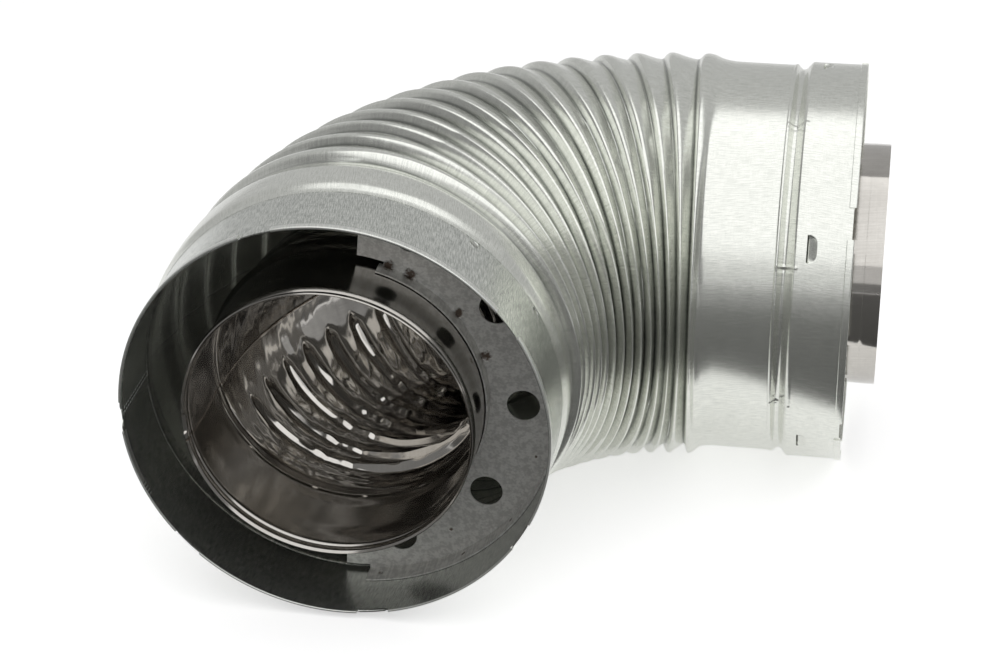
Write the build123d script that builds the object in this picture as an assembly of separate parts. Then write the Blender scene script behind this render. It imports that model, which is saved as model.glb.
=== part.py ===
from build123d import *
from math import cos, sin, radians
import os

# A 90 degree elbow of double-wall vent pipe, lying on its side: a pleated outer pipe round a pleated
# flue liner, with a half ring of spacer plate between them in the front mouth.
# Millimetres and degrees. The front mouth faces -Y and the rear mouth faces +X.
# Angles round a pipe run from the outside of the bend (0) over the top (90) to the throat (180).
# Depths run along a leg from the rim of the outer pipe.

# Sheet and fits
outer_sheet = 0.45
liner_sheet = 0.5
spacer_sheet = 0.6
seat_gap = 0.3            # between sheets that slide into one another
slip_gap = 0.3            # between the spigot and the socket of the next fitting

# The bend
bend_radius = 128.6       # centreline
front_leg = 45.4          # outer rim to the start of the bend
rear_leg = 60.6

# Outer pipe. All its other radii follow from the outside of the front collar, the spigot.
collar_radius = 83.3
hem_width = 3.0
hem_gap_angles = [71.5, 144, 210, 261, 316.5]   # uneven, so that fittings join one way round
hem_gap_span = 9
hem_notch_span = 8        # the sheet is cut back between the folds
hem_notch_depth = 1.0
seam_notch_angle = 358
seam_notch_span = 5
seam_notch_depth = 2.0
collar_tuck = 6.0         # length of front collar that goes into the elbow
collar_neck_fall = 0.6    # and its step down, so that the joint is nearly flush
band_start = 33.0         # depth of the elbow's front edge
band_shoulder = 3.1       # length over which the band rises half its height
band_rise = 1.9           # of the band's crest over the collar
band_crest_end = 4.3      # degrees of bend
band_crest_fall = 0.5     # over that stretch of bend
neck_fall = 0.4           # of the plain run between the pleats and the lock groove, under the collar
neck_flare = 0.4          # how much wider it starts, at the last pleat

# Pleats of the outer pipe
pleat_count = 15
pleat_pitch = 5.65        # degrees of bend
pleat_start = 7.1
pleat_rise = 0.22         # share of the pitch taken by the steep flank
pleat_crown = 0.12        # and by the narrow crown
pleat_crest_rise = 3.0    # over the collar
pleat_crest_drift = 1.2   # crest circles lean towards the throat
pleat_root_fall = 0.5     # under the collar
pleat_root_drift = 1.1    # root circles lean away from the throat

# Rear collar and lock groove
groove_depth = 30.6       # depth of the groove's inner edge, where the collar starts
groove_width = 7.6
groove_slope = 3.0
groove_fall = 2.5
lug_turn = 7.5            # from each gap in the folded edge to the lug behind it
lug_depth = 16.5
lug_length = 11.5
lug_width = 4.5           # from its straight edge to the tip of its curve
lug_height = 2.6
lug_taper = 22
elbow_tuck = 4.0          # length of elbow past the groove, inside the collar

# Flue liner. All its other radii follow from the outside of its sleeve.
liner_shift = 2.5         # the liner sits this much towards the outside of the bend
sleeve_radius = 55.7
sleeve_length = 50.0
rim_bead_depth = 5.0
rim_bead_width = 3.0
rim_bead_height = 1.0
lock_bead_depth = 43.0
lock_bead_width = 5.0
lock_bead_height = 1.2
liner_neck_fall = 1.1     # of the plain run between the lock bead and the pleats
liner_neck_end = 4.2      # degrees of bend
liner_rear_fall = 1.7     # of the plain run after the pleats
spigot_fall = 4.3
spigot_reach = 11.8       # past the rear rim of the outer pipe
spigot_band_length = 5.0
spigot_band_height = 0.4
spigot_taper_depth = 30.0

# Pleats of the liner
liner_pleat_count = 15
liner_pleat_pitch = 5.4
liner_pleat_start = 6.0
liner_pleat_rise = 0.3
liner_crest_fall = 0.7
liner_crest_drift = 0.6
liner_root_fall = 3.3
liner_root_drift = 2.0

# Spacer plate
plate_depth = 31.0        # front face of the plate
plate_start_angle = 94.6
plate_end_angle = 272.8
flange_start_angle = 105
flange_end_angle = 266
plate_end_relief = 2.0    # the plate's ends, past the flanges, are narrower by this at both edges
outer_flange_length = 9.0
inner_flange_length = 6.5
plate_bore_shift = 1.7    # how far the plate's bore sits towards the outside of the bend
plate_bore_gap = 0.8      # between the bore and the sleeve, on average
vent_hole_radius = 6.5
vent_hole_circle = 70.9   # about the liner's axis, lifted by the next value
vent_hole_lift = 2.3
vent_hole_count = 5
vent_hole_start_angle = 113.4
vent_hole_spacing = 34.8

# Worked out from the sizes above
band_crest_radius = collar_radius + band_rise
neck_radius = collar_radius - neck_fall
pleat_crest_radius = collar_radius + pleat_crest_rise
pleat_root_radius = collar_radius - pleat_root_fall
liner_neck_radius = sleeve_radius - liner_neck_fall
liner_crest_radius = sleeve_radius - liner_crest_fall
liner_root_radius = sleeve_radius - liner_root_fall
liner_rear_radius = sleeve_radius - liner_rear_fall
spigot_radius = sleeve_radius - spigot_fall
hem_height = outer_sheet  # the folded edge stands out by one more sheet
socket_radius = collar_radius + hem_height + slip_gap + outer_sheet
highest_radius = max(pleat_crest_radius, socket_radius + hem_height)
left_edge = -bend_radius - band_crest_radius
right_edge = rear_leg + spigot_reach
front_edge = -front_leg
back_edge = bend_radius + socket_radius + hem_height
to_origin = Pos(-(left_edge + right_edge) / 2, -(front_edge + back_edge) / 2, highest_radius)


# Planes across the pipe: local x points to the outside of the bend, y up, z along the flow
def front_plane(depth):
    return Plane(origin=(-bend_radius, depth - front_leg, 0), x_dir=(-1, 0, 0), z_dir=(0, 1, 0))


def bend_plane(angle):
    turn = radians(angle)
    centre = (-bend_radius * cos(turn), bend_radius * sin(turn), 0)
    return Plane(origin=centre, x_dir=(-cos(turn), sin(turn), 0), z_dir=(sin(turn), cos(turn), 0))


def rear_plane(depth):
    return Plane(origin=(rear_leg - depth, bend_radius, 0), x_dir=(0, 1, 0), z_dir=(1, 0, 0))


# A ring is a plane, an outside radius and how far its centre leans to the outside of the bend.
# A strip joins two rings: turned on a straight leg, ruled in the bend.
def strip(ring, following, inset):
    (near_plane, near_radius, near_lean), (far_plane, far_radius, far_lean) = ring, following
    near_place = near_plane * Pos(near_lean, 0)
    far_place = far_plane * Pos(far_lean, 0)
    if near_plane.z_dir == far_plane.z_dir:
        near_corner = (near_place * Pos(near_radius - inset, 0)).position
        far_corner = (far_place * Pos(far_radius - inset, 0)).position
        axis = Axis(near_plane.origin, near_plane.z_dir)
        return Face.revolve(Edge.make_line(near_corner, far_corner), 360, axis)
    near_edge = (near_place * Circle(near_radius - inset)).edge()
    far_edge = (far_place * Circle(far_radius - inset)).edge()
    return Face.make_surface_from_curves(near_edge, far_edge)


def skin(rings, inset):
    return [strip(ring, following, inset) for ring, following in zip(rings, rings[1:])]


def cut_end(ring, sheet):
    plane, radius, lean = ring
    return (plane * Pos(lean, 0) * (Circle(radius) - Circle(radius - sheet))).face()


# A shell is the skins over its rings, outside and inside the sheet, closed by a flat ring at each end
def shell(rings, sheet):
    ends = [cut_end(rings[0], sheet), cut_end(rings[-1], sheet)]
    return Solid(Shell(skin(rings, 0) + skin(rings, sheet) + ends))


# Each pleat is a sharp valley, a steep flank, a crest and a long slope down to the next valley.
# The places of the crest's edges are shares of the pitch: two edges make a crown, one a ridge.
def pleat_rings(count, start, pitch, crest_places, crest, root):
    rings = []
    for number in range(count):
        valley = start + number * pitch
        rings.append((bend_plane(valley), *root))
        rings += [(bend_plane(valley + place * pitch), *crest) for place in crest_places]
    return rings


# A tube turned about the pipe's axis from a wall profile of (radius, depth) corners
def turned(profile, plane, arc=360, start=0):
    section = make_face(Polyline([(radius, 0, depth) for radius, depth in profile], close=True))
    return plane * Rot(0, 0, start) * revolve(section, Axis.Z, arc)


def tube(outside, sheet, near, far, plane, arc=360, start=0):
    inside = outside - sheet
    profile = [(outside, near), (outside, far), (inside, far), (inside, near)]
    return turned(profile, plane, arc, start)


# The wall profile of a sheet that follows a list of outside corners
def wall(corners, sheet):
    return corners + [(radius - sheet, depth) for radius, depth in reversed(corners)]


# The edge folded back outside at a rim, in spans. The gaps between them let the next fitting's lugs through.
def hem(outside, gap_angles, plane):
    spans = []
    angles = sorted(gap_angles)
    for angle, following in zip(angles, angles[1:] + [angles[0] + 360]):
        arc = following - angle - hem_gap_span
        span_start = angle + hem_gap_span / 2
        lap = hem_height + outer_sheet / 2
        spans.append(tube(outside + hem_height, lap, 0, hem_width, plane, arc, span_start))
    return spans


def rim_notch(outside, angle, span, depth, plane):
    clear = 2 * hem_height
    return tube(outside + clear, 2 * clear, -depth, depth, plane, span, angle - span / 2)


def front_collar():
    neck_outside = collar_radius - collar_neck_fall
    corners = [
        (collar_radius, 0),
        (collar_radius, band_start - outer_sheet),
        (neck_outside, band_start),
        (neck_outside, band_start + collar_tuck),
    ]
    rim = front_plane(0)
    collar = turned(wall(corners, outer_sheet), rim)
    for span in hem(collar_radius, hem_gap_angles, rim):
        collar += span
    for angle in hem_gap_angles:
        collar -= rim_notch(collar_radius, angle, hem_notch_span, hem_notch_depth, rim)
    return collar - rim_notch(collar_radius, seam_notch_angle, seam_notch_span, seam_notch_depth, rim)


def outer_elbow():
    edge_radius = collar_radius - collar_neck_fall + seat_gap + outer_sheet
    shoulder_radius = (edge_radius + band_crest_radius) / 2
    rings = [
        (front_plane(band_start), edge_radius, 0),
        (front_plane(band_start + band_shoulder), shoulder_radius, 0),
        (front_plane(front_leg), band_crest_radius, 0),
        (bend_plane(band_crest_end), band_crest_radius - band_crest_fall, 0),
    ]
    crest = (pleat_crest_radius, -pleat_crest_drift)
    root = (pleat_root_radius, pleat_root_drift)
    crown_places = [pleat_rise, pleat_rise + pleat_crown]
    rings += pleat_rings(pleat_count, pleat_start, pleat_pitch, crown_places, crest, root)
    groove_floor = neck_radius - groove_fall
    rings += [
        (rear_plane(rear_leg), neck_radius + neck_flare, 0),
        (rear_plane(groove_depth), neck_radius, 0),
        (rear_plane(groove_depth - groove_slope), groove_floor, 0),
        (rear_plane(groove_depth - groove_width + groove_slope), groove_floor, 0),
        (rear_plane(groove_depth - groove_width), neck_radius, 0),
        (rear_plane(groove_depth - groove_width - elbow_tuck), neck_radius, 0),
    ]
    return shell(rings, outer_sheet)


# A lug's outline: straight on the side of the bend, curved on the side of the rim
def lug_outline(length, width):
    low, high, tip = (-width / 2, -length / 2), (-width / 2, length / 2), (width / 2, 0)
    return make_face(Line(low, high) + ThreePointArc(high, tip, low))


# The collar's depths count from the rear rim, so its plane looks back along the flow.
# Each lug starts from halfway through the sheet, and is pressed hollow from outside.
def rear_collar():
    rim = Plane(origin=(rear_leg, bend_radius, 0), x_dir=(0, 1, 0), z_dir=(-1, 0, 0))
    edge_radius = neck_radius + seat_gap + outer_sheet
    corners = [
        (socket_radius, 0),
        (socket_radius, groove_depth - groove_width),
        (edge_radius - groove_fall, groove_depth - groove_width + groove_slope),
        (edge_radius - groove_fall, groove_depth - groove_slope),
        (edge_radius, groove_depth),
    ]
    collar = turned(wall(corners, outer_sheet), rim)
    for span in hem(socket_radius, [-angle for angle in hem_gap_angles], rim):
        collar += span
    lug_rise = lug_height - outer_sheet / 2
    hollow_length = lug_length - 3 * outer_sheet
    hollow_width = lug_width - 2 * outer_sheet
    for gap_angle in hem_gap_angles:
        collar -= rim_notch(socket_radius, -gap_angle, hem_notch_span, hem_notch_depth, rim)
        turned_place = rear_plane(lug_depth) * Rot(0, 0, gap_angle + lug_turn)
        place = turned_place * Pos(socket_radius - outer_sheet / 2, 0) * Rot(0, -90, 0)
        lug = extrude(place * lug_outline(lug_length, lug_width), lug_rise, taper=lug_taper)
        hollow = place * lug_outline(hollow_length, hollow_width)
        press = extrude(hollow, lug_rise - outer_sheet, taper=lug_taper)
        back = extrude(hollow, -outer_sheet)
        collar = collar + lug - press - back
    return collar


def bead(radius, depth, width, height):
    return [
        (radius, depth - width / 2),
        (radius + height, depth - width / 6),
        (radius + height, depth + width / 6),
        (radius, depth + width / 2),
    ]


def liner_sleeve():
    corners = [(sleeve_radius, 0)]
    corners += bead(sleeve_radius, rim_bead_depth, rim_bead_width, rim_bead_height)
    corners += bead(sleeve_radius, lock_bead_depth, lock_bead_width, lock_bead_height)
    corners += [(sleeve_radius, sleeve_length)]
    return Pos(-liner_shift, 0, 0) * turned(wall(corners, liner_sheet), front_plane(0))


# The liner elbow's flared mouth is rolled into the sleeve's lock bead
def liner_elbow():
    mouth_radius = sleeve_radius - liner_sheet - seat_gap
    lock_bead = bead(mouth_radius, lock_bead_depth, lock_bead_width, lock_bead_height)
    rings = [(front_plane(depth), radius, 0) for radius, depth in lock_bead[1:]]
    rings.append((bend_plane(liner_neck_end), liner_neck_radius, 0))
    crest = (liner_crest_radius, -liner_crest_drift)
    root = (liner_root_radius, liner_root_drift)
    rings += pleat_rings(
        liner_pleat_count, liner_pleat_start, liner_pleat_pitch, [liner_pleat_rise], crest, root
    )
    reach = liner_shift + spigot_reach
    band_radius = spigot_radius + spigot_band_height
    rings += [
        (rear_plane(rear_leg), liner_rear_radius, 0),
        (rear_plane(spigot_taper_depth), spigot_radius, 0),
        (rear_plane(spigot_band_length - reach), spigot_radius, 0),
        (rear_plane(spigot_band_length - reach - spigot_band_height), band_radius, 0),
        (rear_plane(-reach), band_radius, 0),
    ]
    return Pos(-liner_shift, 0, 0) * shell(rings, liner_sheet)


# A flat half ring with a flange turned forward along each edge, holed to let the outer air pass
def spacer_plate():
    plate_radius = collar_radius - outer_sheet - seat_gap
    bore_radius = sleeve_radius + plate_bore_gap
    plate_arc = plate_end_angle - plate_start_angle
    flange_arc = flange_end_angle - flange_start_angle
    whole = front_plane(plate_depth)
    bore_place = whole * Pos(plate_bore_shift, 0)
    blank_width = plate_radius - bore_radius + 2 * plate_bore_shift
    cut_reach = 2 * spacer_sheet
    ends_radius = plate_radius - plate_end_relief
    ends = tube(ends_radius, blank_width, 0, spacer_sheet, whole, plate_arc, plate_start_angle)
    ends -= bore_place * extrude(Circle(bore_radius + plate_end_relief), cut_reach, both=True)
    plate = tube(plate_radius, blank_width, 0, spacer_sheet, whole, flange_arc, flange_start_angle)
    plate -= bore_place * extrude(Circle(bore_radius), cut_reach, both=True)
    plate += ends
    plate += tube(
        plate_radius, spacer_sheet, -outer_flange_length, spacer_sheet, whole, flange_arc, flange_start_angle
    )
    plate += tube(
        bore_radius + spacer_sheet, spacer_sheet, -inner_flange_length, spacer_sheet, bore_place,
        flange_arc, flange_start_angle,
    )
    hole_centre = whole * Pos(liner_shift, vent_hole_lift)
    for number in range(vent_hole_count):
        angle = vent_hole_start_angle + number * vent_hole_spacing
        place = hole_centre * Rot(0, 0, angle) * Pos(vent_hole_circle, 0)
        plate -= place * extrude(Circle(vent_hole_radius), cut_reach, both=True)
    return plate


pieces = {
    "front_collar": front_collar(),
    "outer_elbow": outer_elbow(),
    "rear_collar": rear_collar(),
    "liner_sleeve": liner_sleeve(),
    "liner_elbow": liner_elbow(),
    "spacer_plate": spacer_plate(),
}

os.makedirs("parts", exist_ok=True)
for name, piece in pieces.items():
    export_step(to_origin * piece, f"parts/{name}.step")
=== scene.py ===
import math
import bpy
import bmesh
import numpy as np
from mathutils import Matrix, Vector


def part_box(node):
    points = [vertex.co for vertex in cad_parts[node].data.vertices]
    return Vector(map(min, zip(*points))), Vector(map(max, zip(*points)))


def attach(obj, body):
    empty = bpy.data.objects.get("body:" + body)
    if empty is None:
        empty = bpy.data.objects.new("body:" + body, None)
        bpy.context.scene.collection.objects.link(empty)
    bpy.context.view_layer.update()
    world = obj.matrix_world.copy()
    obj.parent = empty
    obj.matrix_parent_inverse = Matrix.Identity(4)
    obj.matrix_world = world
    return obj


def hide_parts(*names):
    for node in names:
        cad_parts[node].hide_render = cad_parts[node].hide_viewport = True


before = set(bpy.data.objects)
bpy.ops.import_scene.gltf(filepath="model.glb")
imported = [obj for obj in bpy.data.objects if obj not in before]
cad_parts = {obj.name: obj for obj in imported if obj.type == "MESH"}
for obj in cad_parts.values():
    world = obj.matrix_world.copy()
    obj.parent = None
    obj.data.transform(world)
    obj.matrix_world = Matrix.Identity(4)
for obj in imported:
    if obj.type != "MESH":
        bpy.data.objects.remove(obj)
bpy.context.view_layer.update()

mm = 0.001
fullTurn = 2 * math.pi
print("frame loaded")

# The elbow's layout, read from the frame. Angles round a pipe run from the outside of the bend (0)
# over the top (90) to the throat (180), and distances run along the pipe from the front rim.
layout = {
    "frontLeg": 45.4 * mm,      # front rim to the start of the bend
    "linerShift": 2.5 * mm,     # the liner sits this much towards the outside of the bend
}
collarLow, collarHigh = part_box("front_collar")
rearLow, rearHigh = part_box("rear_collar")
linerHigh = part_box("liner_elbow")[1]
axisHeight = (collarLow.z + collarHigh.z) / 2
frontRimY = collarLow.y
rearRimX = rearHigh.x
bendCentreY = frontRimY + layout["frontLeg"]
bendRadius = (rearLow.y + rearHigh.y) / 2 - bendCentreY
bendCentreX = (collarLow.x + collarHigh.x) / 2 + bendRadius
bendLength = bendRadius * math.pi / 2
rearRimDistance = layout["frontLeg"] + bendLength + rearRimX - bendCentreX
spigotEnd = rearRimDistance + linerHigh.x - rearRimX + layout["linerShift"]


# Node helpers, for geometry and shader trees alike
def feed(tree, socket, value):
    if isinstance(value, bpy.types.NodeSocket):
        tree.links.new(value, socket)
    else:
        socket.default_value = value


def put(tree, kind, inputs=None, **settings):
    node = tree.nodes.new(kind)
    for key, value in settings.items():
        setattr(node, key, value)
    for key, value in (inputs or {}).items():
        feed(tree, node.inputs[key], value)
    return node


def calc(tree, operation, *values):
    node = put(tree, "ShaderNodeMath", operation=operation)
    for index, value in enumerate(values):
        feed(tree, node.inputs[index], value)
    return node.outputs[0]


def plus(tree, first, *others):
    for other in others:
        first = calc(tree, "ADD", first, other)
    return first


def times(tree, first, *others):
    for other in others:
        first = calc(tree, "MULTIPLY", first, other)
    return first


def minus(tree, value, taken):
    return calc(tree, "SUBTRACT", value, taken)


def over(tree, value, divisor):
    return calc(tree, "DIVIDE", value, divisor)


def greatest(tree, masks):
    total = masks[0]
    for mask in masks[1:]:
        total = calc(tree, "MAXIMUM", total, mask)
    return total


def span(tree, value, fromLow, fromHigh, toLow=0.0, toHigh=1.0):
    places = {"Value": value, "From Min": fromLow, "From Max": fromHigh, "To Min": toLow, "To Max": toHigh}
    return put(tree, "ShaderNodeMapRange", places, interpolation_type="SMOOTHSTEP").outputs["Result"]


def blend(tree, share, low, high):
    return plus(tree, times(tree, minus(tree, high, low), share), low)


def bell(tree, value, centre, width):
    offset = over(tree, minus(tree, value, centre), width)
    return calc(tree, "EXPONENT", times(tree, offset, offset, -1.0))


def split(tree, joint):
    return put(tree, "ShaderNodeSeparateXYZ", {"Vector": joint}).outputs


def vector(tree, x=0.0, y=0.0, z=0.0):
    return put(tree, "ShaderNodeCombineXYZ", {"X": x, "Y": y, "Z": z}).outputs[0]


def noise(tree, place, scale, detail):
    return put(tree, "ShaderNodeTexNoise", {"Vector": place, "Scale": scale, "Detail": detail}).outputs[0]


mixLow, mixHigh, mixResult = 6, 7, 2        # the colour sockets of a mix node


def mixed(tree, share, low, high):
    node = put(tree, "ShaderNodeMix", {"Factor": share, mixLow: low, mixHigh: high}, data_type="RGBA")
    return node.outputs[mixResult]


def shapeCurve(tree, value, points, handle="AUTO_CLAMPED"):
    node = put(tree, "ShaderNodeFloatCurve", {"Value": value})
    curve = node.mapping.curves[0]
    for place, height in points[1:-1]:
        curve.points.new(place, height)
    curve.points[0].location = points[0]
    curve.points[-1].location = points[-1]
    for point in curve.points:
        point.handle_type = handle
    node.mapping.use_clip = False
    node.mapping.update()
    return node.outputs[0]


# The label of the socket that takes a key's value: "seamAngle" gives "Seam Angle"
def labelOf(key):
    return "".join(" " + letter if letter.isupper() else letter for letter in key).title()


# A sheet of pipe that follows the bend, pleated between its plain ends
pipeInputs = {
    "Float": ["Start", "End", "Front Leg", "Bend Radius", "Centre X", "Centre Y", "Axis Height",
              "Seam Angle", "Seam Lap", "Lap Rise", "Least Radius", "Greatest Radius",
              "First Pleat", "Pleat Pitch", "Pleat Radius", "Pleat Lean", "Pleat Height",
              "Height Spread", "Unevenness", "Waviness", "Spacing Drift", "Ovality",
              "Dent Depth", "Dent Angle", "Dent Row Gap", "Dent Size"],
    "Int": ["Pleats", "Rows", "Columns", "Seed"],
    "Material": ["Material"],
}
pleatRule = {
    "noisePerDegree": 0.11, "seedStep": 7.3,                            # places in the noise
    "pitchNoise": (1.6, 1.5), "waveNoise": (3.1, 2.0), "waveMiddle": 0.6,     # scale and detail
    "trueFrom": (0.72, 0.8), "trueShare": 0.06,                         # the rear end has little waviness
    "entering": (-0.3, 0.0), "leaving": (-0.6, 0.0),                    # pleats over which the folds begin and end
    # painted shade: how the dark valley lines grow towards the throat
    "valleyShadeFade": (0.12, 0.5, 0.3, 1.0),                                # valley lines grow towards the throat
    "pinchPast": 0.075, "pinchWidth": 0.5, "pinchLength": 1.3, "pinchShare": 0.9,
}


def pipeTree(name, shapes):
    rule = pleatRule
    tree = bpy.data.node_groups.new(name, "GeometryNodeTree")
    tree.interface.new_socket(name="Geometry", in_out="OUTPUT", socket_type="NodeSocketGeometry")
    for kind, labels in pipeInputs.items():
        for label in labels:
            tree.interface.new_socket(name=label, in_out="INPUT", socket_type="NodeSocket" + kind)
    given = put(tree, "NodeGroupInput").outputs
    grid = put(tree, "GeometryNodeMeshGrid", {
        "Size X": 1.0, "Size Y": 1.0, "Vertices X": given["Rows"], "Vertices Y": given["Columns"],
    })
    place = split(tree, put(tree, "GeometryNodeInputPosition").outputs[0])
    along = shapeCurve(tree, plus(tree, place["X"], 0.5), shapes["rowSpacing"], "VECTOR")
    around = shapeCurve(tree, plus(tree, place["Y"], 0.5), shapes["columnSpacing"], "VECTOR")
    distance = blend(tree, along, given["Start"], given["End"])
    sweep = times(tree, around, plus(tree, fullTurn, given["Seam Lap"]))
    angle = plus(tree, given["Seam Angle"], sweep)
    toHeel = calc(tree, "COSINE", angle)
    toTop = calc(tree, "SINE", angle)
    throat = times(tree, minus(tree, 1.0, toHeel), 0.5)   # 0 outside, 1 at the throat

    # Where the point is in the row of pleats, with a hand's unevenness
    pastLeg = minus(tree, distance, given["Front Leg"])
    turned = over(tree, pastLeg, given["Bend Radius"])
    degrees = times(tree, turned, 180 / math.pi)
    seeded = put(tree, "ShaderNodeVectorMath", {
        0: vector(tree, times(tree, degrees, rule["noisePerDegree"]), toHeel, toTop),
        1: vector(tree, times(tree, given["Seed"], rule["seedStep"])),
    }, operation="ADD").outputs[0]
    slowNoise = noise(tree, seeded, *rule["pitchNoise"])
    uneven = times(tree, minus(tree, slowNoise, 0.5), given["Unevenness"])
    fromFirst = minus(tree, plus(tree, degrees, uneven), given["First Pleat"])
    evenCount = over(tree, fromFirst, given["Pleat Pitch"])
    drifted = shapeCurve(tree, over(tree, evenCount, given["Pleats"]), shapes["drift"])
    count = minus(tree, evenCount, times(tree, drifted, given["Spacing Drift"]))
    number = calc(tree, "FLOOR", count)
    phase = minus(tree, count, number)
    chance = put(tree, "FunctionNodeRandomValue", {"ID": number, "Seed": given["Seed"]}, data_type="FLOAT")
    spread = times(tree, minus(tree, chance.outputs[1], 0.5), given["Height Spread"])

    # The fold is soft at the outside of the bend and sharp towards the throat
    soft = shapeCurve(tree, phase, shapes["softFold"])
    sharp = shapeCurve(tree, phase, shapes["sharpFold"])
    fold = blend(tree, span(tree, throat, *shapes["sharpening"]), soft, sharp)
    reach = shapeCurve(tree, throat, shapes["reach"])
    height = times(tree, given["Pleat Height"], plus(tree, spread, 1.0))
    rise = times(tree, fold, reach, height)
    leaning = times(tree, given["Pleat Lean"], toHeel)
    pleated = plus(tree, given["Pleat Radius"], leaning, rise)
    plain = blend(tree, shapeCurve(tree, along, shapes["ends"]), given["Least Radius"], given["Greatest Radius"])
    entering = span(tree, count, *rule["entering"])
    leaving = span(tree, minus(tree, count, given["Pleats"]), *rule["leaving"], 1.0, 0.0)
    onPleats = times(tree, entering, leaving)
    radius = blend(tree, onPleats, plain, pleated)
    # Painted shade: the weight of the dark line painted in each valley, which grows towards the throat
    foldShadeWeight = times(tree, span(tree, throat, *rule["valleyShadeFade"]), onPleats)

    # Two rows of round knobs on each side, where the crimping jaws end, with a pinch past each towards the throat
    sideGirth = times(tree, calc(tree, "ARCCOSINE", toHeel), given["Pleat Radius"])
    pitchLength = times(tree, given["Pleat Pitch"], times(tree, given["Bend Radius"], math.pi / 180))
    alongPitch, halfPitch = times(tree, phase, pitchLength), times(tree, pitchLength, 0.5)

    def dent(atAngle, width, length):
        acrossRow = bell(tree, sideGirth, times(tree, atAngle, given["Pleat Radius"]), width)
        return times(tree, acrossRow, bell(tree, alongPitch, halfPitch, length), given["Dent Depth"])

    size = given["Dent Size"]
    for row in (0.0, 1.0):
        rowAngle = plus(tree, given["Dent Angle"], times(tree, given["Dent Row Gap"], row))
        pinch = dent(plus(tree, rowAngle, rule["pinchPast"]),
                     times(tree, size, rule["pinchWidth"]), times(tree, size, rule["pinchLength"]))
        knob = minus(tree, dent(rowAngle, size, size), times(tree, pinch, rule["pinchShare"]))
        radius = minus(tree, radius, times(tree, knob, onPleats))

    waveNoise = noise(tree, seeded, *rule["waveNoise"])
    wave = times(tree, minus(tree, waveNoise, rule["waveMiddle"]), given["Waviness"])
    wave = times(tree, wave, blend(tree, span(tree, along, *rule["trueFrom"]), 1.0, rule["trueShare"]))
    lap = times(tree, minus(tree, around, 1.0), given["Lap Rise"])
    oval = times(tree, given["Ovality"], calc(tree, "COSINE", times(tree, angle, 2.0)))
    radius = plus(tree, radius, wave, lap, oval)

    # Along the front leg, round the bend and along the rear leg
    turn = calc(tree, "MINIMUM", calc(tree, "MAXIMUM", turned, 0.0), math.pi / 2)
    before = calc(tree, "MINIMUM", pastLeg, 0.0)
    bent = times(tree, given["Bend Radius"], math.pi / 2)
    after = calc(tree, "MAXIMUM", minus(tree, pastLeg, bent), 0.0)
    outward = plus(tree, given["Bend Radius"], times(tree, radius, toHeel))
    x = minus(tree, plus(tree, given["Centre X"], after), times(tree, outward, calc(tree, "COSINE", turn)))
    y = plus(tree, given["Centre Y"], before, times(tree, outward, calc(tree, "SINE", turn)))
    z = plus(tree, given["Axis Height"], times(tree, radius, toTop))

    # The place on the sheet for the material, and the folds' count and weight for the painted shade lines in their
    # valleys
    sheetPlace = vector(tree, distance, times(tree, sweep, given["Pleat Radius"]))
    mesh = grid.outputs["Mesh"]
    for label, kind, domain, value in (("UVMap", "FLOAT2", "CORNER", sheetPlace),
                                       ("foldCount", "FLOAT", "POINT", count),
                                       ("foldShadeWeight", "FLOAT", "POINT", foldShadeWeight)):
        mesh = put(tree, "GeometryNodeStoreNamedAttribute", {"Geometry": mesh, "Name": label, "Value": value},
                   data_type=kind, domain=domain).outputs["Geometry"]
    moved = put(tree, "GeometryNodeSetPosition", {"Geometry": mesh, "Position": vector(tree, x, y, z)})
    real = put(tree, "GeometryNodeRealizeInstances", {"Geometry": moved.outputs["Geometry"]})
    dressed = put(tree, "GeometryNodeSetMaterial",
                  {"Geometry": real.outputs["Geometry"], "Material": given["Material"]})
    put(tree, "NodeGroupOutput", {"Geometry": dressed.outputs["Geometry"]})
    return tree


def setInputs(modifier, values):
    for item in modifier.node_group.interface.items_tree:
        if item.in_out == "INPUT" and item.name in values:
            modifier[item.identifier] = values[item.name]


def fromNodes(name, tree, values):
    holder = bpy.data.objects.new(name + "Maker", bpy.data.meshes.new(name + "Maker"))
    bpy.context.scene.collection.objects.link(holder)
    modifier = holder.modifiers.new("nodes", "NODES")
    modifier.node_group = tree
    setInputs(modifier, values)
    seen = holder.evaluated_get(bpy.context.evaluated_depsgraph_get())
    mesh = bpy.data.meshes.new_from_object(seen)
    holder.modifiers.remove(modifier)
    bpy.data.objects.remove(holder)
    piece = bpy.data.objects.new(name, mesh)
    mesh.name = name
    bpy.context.scene.collection.objects.link(piece)
    return piece


def faceOut(piece, axisPoint):
    mesh = piece.data
    mesh.update()
    if sum(face.normal.dot(face.center - axisPoint) for face in mesh.polygons[:40]) < 0:
        mesh.flip_normals()


def thicken(piece, sheet):
    modifier = piece.modifiers.new("sheet", "SOLIDIFY")
    modifier.thickness = sheet
    modifier.offset = -1
    modifier.use_rim = True
    settle(piece)


def settle(piece):
    seen = piece.evaluated_get(bpy.context.evaluated_depsgraph_get())
    mesh = bpy.data.meshes.new_from_object(seen)
    piece.modifiers.clear()
    old = piece.data
    piece.data = mesh
    bpy.data.meshes.remove(old)
    mesh.name = piece.name


sharpAngle = math.radians(38)


def smoothOver(piece):
    piece.data.shade_smooth()
    piece.data.set_sharp_from_angle(angle=sharpAngle)


def own(piece, slot, *nodes):
    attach(piece, "root")
    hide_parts(*nodes)
    print("made", piece.name, len(piece.data.polygons), "faces")


# Shader groups
def shaderGroup(name, inputs, outputs):
    group = bpy.data.node_groups.new(name, "ShaderNodeTree")
    for label, kind, value in inputs:
        socket = group.interface.new_socket(name=label, in_out="INPUT", socket_type="NodeSocket" + kind)
        if value is not None:
            socket.default_value = value
    for label, kind in outputs:
        group.interface.new_socket(name=label, in_out="OUTPUT", socket_type="NodeSocket" + kind)
    return group, put(group, "NodeGroupInput").outputs, put(group, "NodeGroupOutput").inputs


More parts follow.
